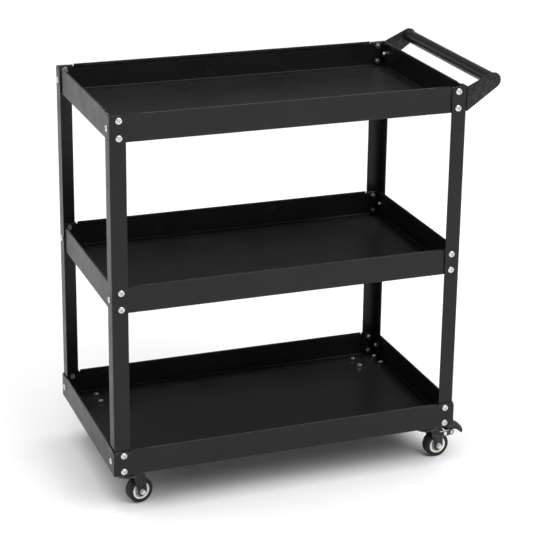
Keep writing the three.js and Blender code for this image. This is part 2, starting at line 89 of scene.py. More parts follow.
def shade(ob, angle=38.0):
    for p in ob.data.polygons:
        p.use_smooth = True
    ob.data.set_sharp_from_angle(angle=math.radians(angle))
    return ob


def place(ob, matrix):
    ob.data.transform(matrix)
    return ob


def join(obs, name):
    """One mesh object out of several, in world space."""
    bm = bmesh.new()
    mats = []
    for o in obs:
        for m in o.data.materials:
            if m not in mats:
                mats.append(m)
    out = bpy.data.meshes.new(name)
    for o in obs:
        me = o.data.copy()
        me.transform(o.matrix_world)
        remap = [mats.index(m) for m in o.data.materials] or [0]
        if remap != list(range(len(remap))):
            for p in me.polygons:
                p.material_index = remap[p.material_index]
        bm.from_mesh(me)
        bpy.data.meshes.remove(me)
    bm.to_mesh(out)
    bm.free()
    for m in mats:
        out.materials.append(m)
    for o in obs:
        bpy.data.objects.remove(o)
    ob = bpy.data.objects.new(name, out)
    bpy.context.scene.collection.objects.link(ob)
    return ob


def bevel(ob, width, segments=2, angle=35.0):
    m = ob.modifiers.new("b", "BEVEL")
    m.width = width * MM
    m.segments = segments
    m.limit_method = "ANGLE"
    m.angle_limit = math.radians(angle)
    m.harden_normals = False
    m.use_clamp_overlap = True
    return apply_modifiers(ob)


def T(x, y, z):
    return Matrix.Translation((x * MM, y * MM, z * MM))


def lathe(profile, segments=48, name="lathe", close=True):
    """Round piece about Z from an [r, z] profile in millimetres."""
    bm = bmesh.new()
    rings = []
    for r, z in profile:
        if r < 1e-6:
            rings.append([bm.verts.new((0, 0, z * MM))])
        else:
            rings.append(
                [
                    bm.verts.new(
                        (
                            r * MM * math.cos(2 * math.pi * i / segments),
                            r * MM * math.sin(2 * math.pi * i / segments),
                            z * MM,
                        )
                    )
                    for i in range(segments)
                ]
            )
    pairs = list(zip(rings, rings[1:]))
    if close and len(rings[0]) > 1 and len(rings[-1]) > 1:
        pairs.append((rings[-1], rings[0]))
    for a, b in pairs:
        for i in range(segments):
            j = (i + 1) % segments
            if len(a) == 1 and len(b) == 1:
                continue
            if len(a) == 1:
                bm.faces.new((a[0], b[i], b[j]))
            elif len(b) == 1:
                bm.faces.new((a[i], b[0], a[j]))
            else:
                bm.faces.new((a[i], b[i], b[j], a[j]))
    return obj_from(bm, name)


def plate(outline, thick, name="plate", holes=()):
    """Flat plate: outline of (x, y) in mm, from z = 0 up to thick. Holes are lists of (x, y)."""
    bm = bmesh.new()
    edges = []
    for loop in [outline, *holes]:
        vs = [bm.verts.new((x * MM, y * MM, 0)) for x, y in loop]
        edges += [bm.edges.new((vs[i], vs[(i + 1) % len(vs)])) for i in range(len(vs))]
    if holes:
        bmesh.ops.triangle_fill(bm, use_beauty=True, use_dissolve=False, edges=edges)
    else:
        bm.faces.new([v for v in bm.verts])
    faces = bm.faces[:]
    res = bmesh.ops.extrude_face_region(bm, geom=faces)
    top = [v for v in res["geom"] if isinstance(v, bmesh.types.BMVert)]
    bmesh.ops.translate(bm, verts=top, vec=(0, 0, thick * MM))
    return obj_from(bm, name, smooth=30.0)


def arc(cx, cy, r, a0, a1, n):
    return [
        (cx + r * math.cos(math.radians(a0 + (a1 - a0) * i / n)), cy + r * math.sin(math.radians(a0 + (a1 - a0) * i / n)))
        for i in range(n + 1)
    ]


def boolean(ob, cutter, op="DIFFERENCE"):
    m = ob.modifiers.new("bool", "BOOLEAN")
    m.operation = op
    m.solver = "EXACT"
    m.object = cutter
    apply_modifiers(ob)
    bpy.data.objects.remove(cutter)
    return ob


XZ = Matrix(((1, 0, 0, 0), (0, 0, -1, 0), (0, 1, 0, 0), (0, 0, 0, 1)))  # plate's (x, y) stood up as (x, z); thickness runs to -Y
AXIS = {
    "+x": Matrix.Rotation(math.pi / 2, 4, "Y"),
    "-x": Matrix.Rotation(-math.pi / 2, 4, "Y"),
    "+y": Matrix.Rotation(-math.pi / 2, 4, "X"),
    "-y": Matrix.Rotation(math.pi / 2, 4, "X"),
    "+z": Matrix.Identity(4),
    "-z": Matrix.Rotation(math.pi, 4, "X"),
}

# ------------------------------------------------------------------ materials
def new_material(name):
    m = bpy.data.materials.new(name)
    m.use_nodes = True
    nt = m.node_tree
    bsdf = nt.nodes["Principled BSDF"]
    return m, nt, bsdf


class N:
    """Small wrapper for building node trees."""

    def __init__(self, nt):
        self.nt = nt
        self.tex = nt.nodes.new("ShaderNodeTexCoord").outputs["Object"]

    def link(self, a, b):
        self.nt.links.new(a, b)

    def mapping(self, scale=(1, 1, 1), rot=(0, 0, 0), loc=(0, 0, 0)):
        n = self.nt.nodes.new("ShaderNodeMapping")
        n.inputs["Scale"].default_value = scale
        n.inputs["Rotation"].default_value = rot
        n.inputs["Location"].default_value = loc
        self.link(self.tex, n.inputs["Vector"])
        return n.outputs[0]

    def noise(self, scale, detail=4.0, rough=0.5, vec=None, distortion=0.0):
        n = self.nt.nodes.new("ShaderNodeTexNoise")
        n.inputs["Scale"].default_value = scale
        n.inputs["Detail"].default_value = detail
        n.inputs["Roughness"].default_value = rough
        n.inputs["Distortion"].default_value = distortion
        self.link(vec if vec is not None else self.tex, n.inputs["Vector"])
        return n.outputs["Fac"]

    def voronoi(self, scale, feature="F1", vec=None, out="Distance"):
        n = self.nt.nodes.new("ShaderNodeTexVoronoi")
        n.feature = feature
        n.inputs["Scale"].default_value = scale
        self.link(vec if vec is not None else self.tex, n.inputs["Vector"])
        return n.outputs[out]

    def wave(self, scale, vec=None, distortion=0.0, direction="X", detail=0.0):
        n = self.nt.nodes.new("ShaderNodeTexWave")
        n.bands_direction = direction
        n.inputs["Scale"].default_value = scale
        n.inputs["Distortion"].default_value = distortion
        n.inputs["Detail"].default_value = detail
        self.link(vec if vec is not None else self.tex, n.inputs["Vector"])
        return n.outputs["Fac"]

    def ramp(self, fac, stops):
        n = self.nt.nodes.new("ShaderNodeValToRGB")
        e = n.color_ramp.elements
        while len(e) < len(stops):
            e.new(0.5)
        for el, (p, c) in zip(e, stops):
            el.position = p
            el.color = (*c, 1) if len(c) == 3 else c
        self.link(fac, n.inputs[0])
        return n.outputs["Color"]

    def maprange(self, fac, a, b, c, d, clamp=True):
        n = self.nt.nodes.new("ShaderNodeMapRange")
        n.clamp = clamp
        for i, v in zip(("From Min", "From Max", "To Min", "To Max"), (a, b, c, d)):
            n.inputs[i].default_value = v
        self.link(fac, n.inputs["Value"])
        return n.outputs[0]

    def math(self, op, a, b):
        n = self.nt.nodes.new("ShaderNodeMath")
        n.operation = op
        for i, v in enumerate((a, b)):
            if isinstance(v, (int, float)):
                n.inputs[i].default_value = v
            else:
                self.link(v, n.inputs[i])
        return n.outputs[0]

    def mix(self, fac, a, b):
        n = self.nt.nodes.new("ShaderNodeMix")
        n.data_type = "RGBA"
        if isinstance(fac, (int, float)):
            n.inputs[0].default_value = fac
        else:
            self.link(fac, n.inputs[0])
        for i, v in ((6, a), (7, b)):
            if isinstance(v, tuple):
                n.inputs[i].default_value = (*v, 1)
            else:
                self.link(v, n.inputs[i])
        return n.outputs[2]

    def pointiness(self):
        return self.nt.nodes.new("ShaderNodeNewGeometry").outputs["Pointiness"]

    def normal_z(self):
        g = self.nt.nodes.new("ShaderNodeNewGeometry").outputs["Normal"]
        s = self.nt.nodes.new("ShaderNodeSeparateXYZ")
        self.link(g, s.inputs[0])
        return s.outputs["Z"]

    def bump(self, height, strength, distance, normal=None):
        n = self.nt.nodes.new("ShaderNodeBump")
        n.inputs["Strength"].default_value = strength
        n.inputs["Distance"].default_value = distance
        self.link(height, n.inputs["Height"])
        if normal is not None:
            self.link(normal, n.inputs["Normal"])
        return n.outputs[0]


def powder_coat(name, scuffs=0.0, dust=0.0, seed=0.0, base=(0.0048, 0.0047, 0.0050)):
    """Satin black powder coat: leathery orange peel, a fine grain, cloudy gloss, dust and fine scuffs."""
    m, nt, b = new_material(name)
    n = N(nt)
    shifted = n.mapping(loc=(seed, seed * 0.7, seed * 1.3))
    cloud = n.noise(9.0, 5.0, 0.55, shifted)
    blotch = n.noise(38.0, 3.0, 0.5, shifted)
    col = n.mix(n.maprange(cloud, 0.35, 0.7, 0.0, 1.0), tuple(c * 0.82 for c in base), tuple(c * 1.28 for c in base))
    rough = n.maprange(cloud, 0.3, 0.72, 0.34, 0.42)
    rough = n.math("ADD", rough, n.maprange(blotch, 0.35, 0.7, -0.03, 0.03))
    # the coat thins and polishes along folded edges
    edge = n.maprange(n.pointiness(), 0.508, 0.545, 0.0, 1.0)
    broken = n.maprange(n.noise(160.0, 4.0, 0.6, shifted), 0.42, 0.62, 0.0, 1.0)
    edge = n.math("MULTIPLY", edge, broken)
    col = n.mix(n.math("MULTIPLY", edge, 0.45), col, (0.040, 0.039, 0.041))
    rough = n.math("SUBTRACT", rough, n.math("MULTIPLY", edge, 0.06))
    if dust:
        up = n.maprange(n.normal_z(), 0.55, 0.98, 0.0, 1.0)
        speck = n.maprange(n.noise(420.0, 3.0, 0.7, shifted), 0.52, 0.74, 0.0, 1.0)
        film = n.maprange(n.noise(5.0, 6.0, 0.62, shifted), 0.38, 0.75, 0.05, 0.6)
        amount = n.math("MULTIPLY", up, n.math("MULTIPLY", n.math("ADD", n.math("MULTIPLY", speck, 0.5), film), dust))
        col = n.mix(amount, col, (0.15, 0.145, 0.14))
        rough = n.math("ADD", rough, n.math("MULTIPLY", amount, 0.30))
    height = n.math("ADD", n.math("MULTIPLY", n.noise(620.0, 2.0, 0.5, shifted), 0.75), n.math("MULTIPLY", n.noise(2600.0, 2.0, 0.5, shifted), 0.25))
    if scuffs:
        s = None
        for k, (ang, sc) in enumerate(((0.35, 16.0), (-0.9, 13.0), (1.9, 10.0))):
            v = n.mapping(scale=(1.0, 26.0, 1.0), rot=(0, 0, ang), loc=(seed + k, k * 3.1, 0))
            line = n.maprange(n.noise(sc, 3.0, 0.75, v), 0.675, 0.70, 0.0, 1.0)
            gate = n.maprange(n.noise(7.0 + k, 3.0, 0.5, n.mapping(loc=(k * 5.0 + seed, 1.0, 2.0))), 0.50, 0.62, 0.0, 1.0)
            line = n.math("MULTIPLY", line, gate)
            s = line if s is None else n.math("MAXIMUM", s, line)
        s = n.math("MULTIPLY", s, scuffs)
        col = n.mix(s, col, (0.050, 0.048, 0.048))
        rough = n.math("ADD", rough, n.math("MULTIPLY", s, 0.12))
    nt.links.new(col, b.inputs["Base Color"])
    nt.links.new(rough, b.inputs["Roughness"])
    slow = n.bump(n.noise(4.2, 2.0, 0.4, shifted), 0.35, 0.004)
    nt.links.new(n.bump(height, 0.22, 0.00035, slow), b.inputs["Normal"])
    b.inputs["Metallic"].default_value = 0.0
    b.inputs["Specular IOR Level"].default_value = 0.27
    b.inputs["Specular Tint"].default_value = (1.0, 0.955, 1.0, 1.0)
    b.inputs["Sheen Weight"].default_value = 0.0
    return m


def zinc(name, tint=(0.64, 0.655, 0.675), seed=0.0, rough0=0.24):
    m, nt, b = new_material(name)
    n = N(nt)
    v = n.mapping(loc=(seed, 0, seed))
    cloud = n.noise(170.0, 4.0, 0.6, v)
    fine = n.noise(900.0, 3.0, 0.6, v)
    col = n.mix(n.maprange(cloud, 0.35, 0.7, 0.0, 1.0), tuple(c * 0.86 for c in tint), tuple(min(1.0, c * 1.12) for c in tint))
    # bluish and straw tones of a passivated plating
    col = n.mix(n.maprange(n.noise(75.0, 2.0, 0.5, v), 0.5, 0.75, 0.0, 0.35), col, (0.62, 0.60, 0.50))
    # painted shade: the hollows (low pointiness) get a dark brownish-grey colour, and a higher roughness
    hollow_shade = n.maprange(n.pointiness(), 0.40, 0.49, 0.75, 0.0)
    col = n.mix(hollow_shade, col, (0.07, 0.065, 0.06))
    nt.links.new(col, b.inputs["Base Color"])
    nt.links.new(n.math("ADD", n.maprange(fine, 0.3, 0.75, rough0, rough0 + 0.14), n.math("MULTIPLY", hollow_shade, 0.3)), b.inputs["Roughness"])
    nt.links.new(n.bump(n.noise(1500.0, 3.0, 0.5, v), 0.15, 0.0001), b.inputs["Normal"])
    b.inputs["Metallic"].default_value = 1.0
    return m


def rubber(name):
    m, nt, b = new_material(name)
    n = N(nt)
    cloud = n.noise(60.0, 4.0, 0.6)
    col = n.mix(n.maprange(cloud, 0.35, 0.7, 0.0, 1.0), (0.0055, 0.0055, 0.0062), (0.0105, 0.0100, 0.0112))
    dust = n.maprange(n.noise(350.0, 4.0, 0.7), 0.53, 0.72, 0.0, 0.3)
    col = n.mix(dust, col, (0.045, 0.042, 0.040))
    nt.links.new(col, b.inputs["Base Color"])
    nt.links.new(n.maprange(cloud, 0.3, 0.75, 0.42, 0.6), b.inputs["Roughness"])
    nt.links.new(n.bump(n.noise(1400.0, 3.0, 0.6), 0.3, 0.00018), b.inputs["Normal"])
    b.inputs["Specular IOR Level"].default_value = 0.30
    return m


def hub_plastic(name):
    m, nt, b = new_material(name)
    n = N(nt)
    cloud = n.noise(70.0, 3.0, 0.5)
    col = n.mix(n.maprange(cloud, 0.35, 0.7, 0.0, 1.0), (0.78, 0.72, 0.63), (0.88, 0.84, 0.77))
    # painted shade: the moulding's hollows (low pointiness) are darkened towards brown-black, broken up by noise
    hollow_shade = n.maprange(n.pointiness(), 0.42, 0.495, 0.75, 0.0)
    hollow_shade = n.math("MULTIPLY", hollow_shade, n.maprange(n.noise(240.0, 3.0, 0.6), 0.35, 0.65, 0.4, 1.0))
    col = n.mix(hollow_shade, col, (0.16, 0.12, 0.085))
    nt.links.new(col, b.inputs["Base Color"])
    nt.links.new(n.maprange(n.noise(300.0, 3.0, 0.5), 0.3, 0.7, 0.26, 0.40), b.inputs["Roughness"])
    nt.links.new(n.bump(n.noise(800.0, 2.0, 0.5), 0.12, 0.0001), b.inputs["Normal"])
    b.inputs["Subsurface Weight"].default_value = 0.0
    return m


def pedal_plastic(name):
    m, nt, b = new_material(name)
    n = N(nt)
    cloud = n.noise(55.0, 4.0, 0.55)
    col = n.mix(n.maprange(cloud, 0.35, 0.7, 0.0, 1.0), (0.008, 0.008, 0.009), (0.016, 0.016, 0.0175))
    edge = n.math("MULTIPLY", n.maprange(n.pointiness(), 0.505, 0.54, 0.0, 0.6), n.maprange(n.noise(300.0, 3.0, 0.6), 0.4, 0.6, 0.0, 1.0))
    col = n.mix(edge, col, (0.085, 0.084, 0.088))
    nt.links.new(col, b.inputs["Base Color"])
    nt.links.new(n.maprange(cloud, 0.3, 0.7, 0.38, 0.52), b.inputs["Roughness"])
    grain = n.voronoi(1100.0, "SMOOTH_F1")
    nt.links.new(n.bump(grain, 0.35, 0.00018), b.inputs["Normal"])
    b.inputs["Specular IOR Level"].default_value = 0.26
    return m


def stamped(name):
    """Black-coated stamped steel: a smoother, slightly blue-violet electrocoat with press marks."""
    m, nt, b = new_material(name)
    n = N(nt)
    cloud = n.noise(45.0, 4.0, 0.55)
    col = n.mix(n.maprange(cloud, 0.35, 0.7, 0.0, 1.0), (0.0060, 0.0056, 0.0066), (0.0115, 0.0108, 0.0125))
    edge = n.math("MULTIPLY", n.maprange(n.pointiness(), 0.505, 0.55, 0.0, 1.0), n.maprange(n.noise(260.0, 4.0, 0.6), 0.45, 0.62, 0.0, 1.0))
    col = n.mix(n.math("MULTIPLY", edge, 0.5), col, (0.16, 0.155, 0.16))
    nt.links.new(col, b.inputs["Base Color"])
    nt.links.new(n.math("SUBTRACT", n.maprange(cloud, 0.3, 0.72, 0.30, 0.42), n.math("MULTIPLY", edge, 0.05)), b.inputs["Roughness"])
    drawn = n.noise(90.0, 3.0, 0.6, n.mapping(scale=(1, 1, 7)))
    nt.links.new(n.bump(n.noise(1100.0, 2.0, 0.5), 0.16, 0.0002, n.bump(drawn, 0.2, 0.0003)), b.inputs["Normal"])
    b.inputs["Specular IOR Level"].default_value = 0.20
    b.inputs["Coat Weight"].default_value = 0.10
    b.inputs["Coat Roughness"].default_value = 0.22
    return m


COAT_TRAY = {t: powder_coat("coat_tray_" + t, scuffs=0.30, dust=0.035, seed=3.7 * i + 1.1) for i, t in enumerate(TOPS)}
COAT_POST = {c: powder_coat("coat_post_" + c, seed=5.3 * i + 2.0) for i, c in enumerate(CORNERS)}
COAT_HANDLE = powder_coat("coat_handle", dust=0.05, seed=9.1)
ZINC = zinc("zinc_plate")
ZINC_LEVER = zinc("zinc_lever", tint=(0.60, 0.59, 0.55), seed=4.0, rough0=0.3)
STEEL_BALL = zinc("ball_steel", tint=(0.7, 0.7, 0.7), seed=8.0, rough0=0.12)
RUBBER = rubber("tyre_rubber")
HUB = hub_plastic("hub_plastic")
PEDAL = pedal_plastic("pedal_plastic")
STAMPED = stamped("stamped_steel")


def tidy(ob):
    """Triangles only, with the faces of no area along the cuts and rounded edges taken out."""
    apply_modifiers(ob)
    bm = bmesh.new()
    bm.from_mesh(ob.data)
    bmesh.ops.triangulate(bm, faces=bm.faces[:])
    bmesh.ops.dissolve_degenerate(bm, dist=2e-6, edges=bm.edges[:])
    bm.to_mesh(ob.data)
    bm.free()


def finish(ob, material, body, slot, *nodes):
    if ob.name.endswith(("_angle", "_fork")):
        tidy(ob)
    ob.data.materials.clear()
    ob.data.materials.append(material)
    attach(ob, body)
    if nodes:
        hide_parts(*nodes)
    return ob


# ------------------------------------------------------------------ folded sheet
def sheet_grid(columns, thick, name):
    """Skin a sheet from columns of points (mm); every column is a list of points, None past its end."""
    bm = bmesh.new()
    rows = max(len(c) for c in columns)
    grid = [[bm.verts.new(Vector(p) * MM) if p is not None else None for p in c + [None] * (rows - len(c))] for c in columns]
    for a, b in zip(grid, grid[1:]):
        for i in range(rows - 1):
            q = [a[i], b[i], b[i + 1], a[i + 1]]
            q = [v for v in q if v is not None]
            if len(q) >= 3:
                bm.faces.new(q)
    return bm


# ------------------------------------------------------------------ trays
def build_tray(tier):
    top = TOPS[tier]
    base = top - RIM
    if tier == "bottom":
        rx, ry = LENGTH / 2 + FIT + TRAY_SHEET, WIDTH / 2 + FIT + TRAY_SHEET
    else:
        rx, ry = LENGTH / 2 - POST_SHEET - FIT, WIDTH / 2 - POST_SHEET - FIT
    t = TRAY_SHEET
    bend = 2.6  # outside bend radius between floor and rim
    roll = 1.45  # outside radius of the hem's roll
    low = top - 1.6
    stop_x = LENGTH / 2 - 34.5
    stop_y = WIDTH / 2 - 34.5
    slit = 0.8

    def profile(full):
        """Outer face of the sheet from the floor's edge up: (out, z, kind); out is measured in from the rim's face."""
        pts = [(bend + 0.0, base)]
        pts += [(bend - bend * math.sin(math.radians(a)), base + bend - bend * math.cos(math.radians(a))) for a in (15, 30, 45, 60, 75, 90)]
        pts += [(0.0, base + 10), (0.0, base + 24), (0.0, top - 12.0), (0.0, low - 5.0)]
        return pts

    def rim(along, across, half, reach, stop, length_end):
        """One rim as columns. along and across are unit vectors, half is the rim's half length, reach its outer face."""
        cols = []
        corner_r = 5.0
        # stations along the rim, with the rounded end corner and the hem's chamfered end
        left = [(-half, low - corner_r), (-half + corner_r * (1 - math.cos(math.radians(30))), low - corner_r * (1 - math.sin(math.radians(30)))),
                (-half + corner_r * (1 - math.cos(math.radians(60))), low - corner_r * (1 - math.sin(math.radians(60)))), (-half + corner_r, low), (-stop - 2.2, low), (-stop - 1.8, low - 3.4), (-stop - 0.4, low - 3.4)]
        stations = [(s, z, False) for s, z in left]
        hem_in = [(-stop, None, True), (-stop + 30, None, True)]
        k = 9
        hem_in += [(-stop + 30 + (2 * stop - 60) * i / k, None, True) for i in range(1, k)]
        hem_in += [(stop - 30, None, True), (stop, None, True)]
        stations += hem_in
        stations += [(-s, z, False) for s, z in reversed(left)]
        for s, ztop, hem in stations:
            column = []
            for o, z in profile(hem):
                # the floor's bend stops short of the corner
                column.append(across * (reach - o) + along * s + Vector((0, 0, z)))
            if not hem:
                column[-1] = across * reach + along * s + Vector((0, 0, min(low - 5.0, ztop)))
                column.append(across * reach + along * s + Vector((0, 0, max(ztop, low - 5.0) if ztop > low - 5.0 else low - 5.0 + 0.001)))
            else:
                column.append(across * reach + along * s + Vector((0, 0, low)))
                column.append(across * reach + along * s + Vector((0, 0, top - roll)))
                for a in (30, 60, 90, 120, 150, 180):
                    ar = math.radians(a)
                    column.append(across * (reach - roll + roll * math.cos(ar)) + along * s + Vector((0, 0, top - roll + roll * math.sin(ar))))
                column.append(across * (reach - 2 * roll) + along * s + Vector((0, 0, top - 5.0)))
                column.append(across * (reach - 2 * roll + 0.12) + along * s + Vector((0, 0, top - 7.0)))
            cols.append(column)
        return cols

    X, Y = Vector((1, 0, 0)), Vector((0, 1, 0))
    obs = []
    inner = rx - t - slit
    sides = [
        rim(X, Y, rx - 0.0, ry, stop_x, True),
        rim(X, -Y, rx - 0.0, ry, stop_x, True),
        rim(Y, X, ry - t - slit, rx, stop_y, False),
        rim(Y, -X, ry - t - slit, rx, stop_y, False),
    ]
    for i, cols in enumerate(sides):
        bm = sheet_grid(cols, t, "rim")
        ob = obj_from(bm, f"rim_{tier}_{i}", smooth=60)
        # faces must look outwards so the sheet grows inwards
        out = (Y, -Y, X, -X)[i]
        flip = sum(p.normal.dot(out) * p.area for p in ob.data.polygons) < 0
        if flip:
            ob.data.flip_normals()
        obs.append(ob)
    # flat floor, on a grid fine enough to shade it
    bm = bmesh.new()
    nx, ny = 24, 14
    fx, fy = rx - bend, ry - bend
    grid = []
    for i in range(nx + 1):
        row = []
        for j in range(ny + 1):
            u, v = -1 + 2 * i / nx, -1 + 2 * j / ny
            row.append(bm.verts.new((u * fx * MM, v * fy * MM, base * MM)))
        grid.append(row)
    for i in range(nx):
        for j in range(ny):
            bm.faces.new((grid[i][j], grid[i + 1][j], grid[i + 1][j + 1], grid[i][j + 1]))
    fl = obj_from(bm, "floor_" + tier, smooth=60)
    if sum(p.normal.z * p.area for p in fl.data.polygons) > 0:
        fl.data.flip_normals()
    obs.append(fl)
    for ob in obs:
        m = ob.modifiers.new("s", "SOLIDIFY")
        m.thickness = t * MM
        m.offset = -1.0
        m.use_even_offset = True
        m.use_quality_normals = True
        apply_modifiers(ob)
    tray = join(obs, "tray_" + tier + "_sheet")
    tray.data.transform(T(SHIFT, 0, 0))
    return tray


# ------------------------------------------------------------------ posts
def build_post(c):
    sx, sy = CORNERS[c]
    z0, z1 = UNDER + 1.7, TOPS["top"] - 2
    f, r, b = POST_FLANGE, POST_CORNER, 3.0
    us = [r * (1 - math.cos(math.radians(a))) for a in range(0, 91, 10)]
    us += [13.0, 20.0, f - b]
    prof = []  # (u from the free edge, point on the outer face)
    for u in us:
        prof.append((u, (-f + u, 0.0)))
    bendpts = [(None, p) for p in arc(-b, -b, b, 90, 0, 6)[1:-1]]
    side = [(u, (0.0, -f + u)) for u in us][::-1]
    columns = []
    for u, (x, y) in prof + bendpts + side:
        drop = 0.0
        if u is not None and u < r:
            drop = r - math.sqrt(max(0.0, r * r - (r - u) ** 2))
        zs = [z0 + drop, z0 + r + 0.5, 110, 180, 300, 400, 410, 520, 640, 730, z1 - r - 0.5, z1 - drop]
        columns.append([Vector((x, y, z)) for z in zs])
    bm = sheet_grid(columns, POST_SHEET, "post")
    ob = obj_from(bm, "post", smooth=60)
    if sum(p.normal.y * p.area for p in ob.data.polygons) < 0:
        ob.data.flip_normals()
    m = ob.modifiers.new("s", "SOLIDIFY")
    m.thickness = POST_SHEET * MM
    m.offset = -1.0
    m.use_even_offset = True
    apply_modifiers(ob)
    bevel(ob, 0.35, 2, 50)
    shade(ob, 40)
    if sx * sy < 0:
        ob.data.transform(Matrix.Diagonal((sx, sy, 1, 1)))
        ob.data.flip_normals()
    else:
        ob.data.transform(Matrix.Diagonal((sx, sy, 1, 1)))
    ob.data.transform(T(SHIFT + sx * LENGTH / 2, sy * WIDTH / 2, 0))
    ob.name = "post_" + c + "_angle"
    return ob


# ------------------------------------------------------------------ fasteners
def pan_head(r=6.3, h=2.8):
    """Round pan head, seat at z = 0, with a cross recess."""
    prof = [(0, 0.0), (r - 0.35, 0.0), (r - 0.05, 0.18), (r, 0.5)]
    for i in range(1, 10):
        a = math.radians(10 * i)
        prof.append((r * math.cos(a) ** 0.62 if i < 9 else 0.0, 0.5 + (h - 0.5) * math.sin(a) ** 1.0))
    prof = prof[:-1] + [(0.0, h)]
    head = lathe(prof, 40, "head")
    a, k = 0.72, r * 0.52
    cut = plate([(-a, -k), (a, -k), (a, -a), (k, -a), (k, a), (a, a), (a, k), (-a, k), (-a, a), (-k, a), (-k, -a), (-a, -a)], 3.0, "cut")
    cut.data.transform(T(0, 0, h - 1.9))
    boolean(head, cut)
    shade(head, 35)
    return head


def hex_nut(af=10.0, h=4.8, bore=3.0):
    """Chamfered hexagon nut from z = 0 to h, with a bore; the bolt end standing in it is added where the nut is used.
    """
    seg = 48
    rows = []
    rc = af / 2 / math.cos(math.radians(30))
    for z, cap in ((0.0, af / 2 * 0.97), (0.75, rc), (h - 0.75, rc), (h, af / 2 * 0.97)):
        row = []
        for i in range(seg):
            a = 2 * math.pi * i / seg
            hexr = af / 2 / math.cos(((a + math.pi / 6) % (math.pi / 3)) - math.pi / 6)
            row.append((min(hexr, cap), a, z))
        rows.append(row)
    inner = [(bore + 0.45, 0.0), (bore, 0.45), (bore, h - 0.45), (bore + 0.45, h)]
    bm = bmesh.new()
    vo = [[bm.verts.new((rr * math.cos(a) * MM, rr * math.sin(a) * MM, z * MM)) for rr, a, z in row] for row in rows]
    vi = [[bm.verts.new((rr * math.cos(2 * math.pi * i / seg) * MM, rr * math.sin(2 * math.pi * i / seg) * MM, z * MM)) for i in range(seg)] for rr, z in inner]
    loops = vo + vi[::-1] + [vo[0]]
    for a, b in zip(loops, loops[1:]):
        for i in range(seg):
            j = (i + 1) % seg
            bm.faces.new((a[i], a[j], b[j], b[i]))
    nut = obj_from(bm, "nut", 25)
    return nut


def threaded_end(r, z0, z1, pitch=1.0):
    """A stub of threaded shank from z0 to z1 with rings for its thread and a chamfered end."""
    prof = [(0.0, z0)]
    z = z0
    while z < z1 - 0.7:
        prof += [(r, z + 0.15), (r - 0.45, z + 0.5), (r, z + 0.85)]
        z += pitch
    prof += [(r - 0.9, z1), (0.0, z1)]
    return lathe(prof, 24, "thread")


PROTO = {}


def proto(kind):
    if kind not in PROTO:
        if kind == "head":
            PROTO[kind] = pan_head()
        elif kind == "head_small":
            PROTO[kind] = pan_head(5.2, 2.6)
        elif kind == "nut":
            PROTO[kind] = join([hex_nut(), threaded_end(2.75, 0.4, 6.4)], "nutproto")
        PROTO[kind].hide_render = True
    return PROTO[kind]


def copy_of(kind, matrix):
    src = proto(kind)
    ob = bpy.data.objects.new(kind, src.data.copy())
    bpy.context.scene.collection.objects.link(ob)
    ob.data.transform(matrix)
    return ob


def turn():
    return Matrix.Rotation(random.uniform(0, 2 * math.pi), 4, "Z")


def bolt_set(tier, c):
    sx, sy = CORNERS[c]
    top = TOPS[tier]
    outside = tier == "bottom"
    head = FIT + TRAY_SHEET + GAP if outside else GAP
    nut = POST_SHEET + GAP if outside else POST_SHEET + FIT + TRAY_SHEET + GAP
    bracket = GAP + 2 if (tier == "top" and sx > 0) else 0
    x, y = LENGTH / 2 - BOLT_INSET, WIDTH / 2 - BOLT_INSET
    obs = []
    for d in (BOLT_UPPER, BOLT_LOWER):
        dirn = "+y" if sy > 0 else "-y"
        inn = "-y" if sy > 0 else "+y"
        obs.append(copy_of("head", T(SHIFT + sx * x, sy * (WIDTH / 2 + head), top - d) @ AXIS[dirn] @ turn()))
        obs.append(copy_of("nut", T(SHIFT + sx * x, sy * (WIDTH / 2 - nut), top - d) @ AXIS[inn] @ turn()))
        shank = lathe([(0, 0.0), (2.75, 0.0), (2.75, head + nut + 0.5), (0, head + nut + 0.5)], 16, "shank")
        shank.data.transform(T(SHIFT + sx * x, sy * (WIDTH / 2 + head + 0.1), top - d) @ AXIS[inn])
        obs.append(shank)
    dirn = "+x" if sx > 0 else "-x"
    inn = "-x" if sx > 0 else "+x"
    obs.append(copy_of("head", T(SHIFT + sx * (LENGTH / 2 + head + bracket), sy * y, top - BOLT_SIDE) @ AXIS[dirn] @ turn()))
    obs.append(copy_of("nut", T(SHIFT + sx * (LENGTH / 2 - nut), sy * y, top - BOLT_SIDE) @ AXIS[inn] @ turn()))
    shank = lathe([(0, 0.0), (2.75, 0.0), (2.75, head + nut + bracket + 0.5), (0, head + nut + bracket + 0.5)], 16, "shank")
    shank.data.transform(T(SHIFT + sx * (LENGTH / 2 + head + bracket + 0.1), sy * y, top - BOLT_SIDE) @ AXIS[inn])
    obs.append(shank)
    return join(obs, f"bolts_{tier}_{c}_detail")


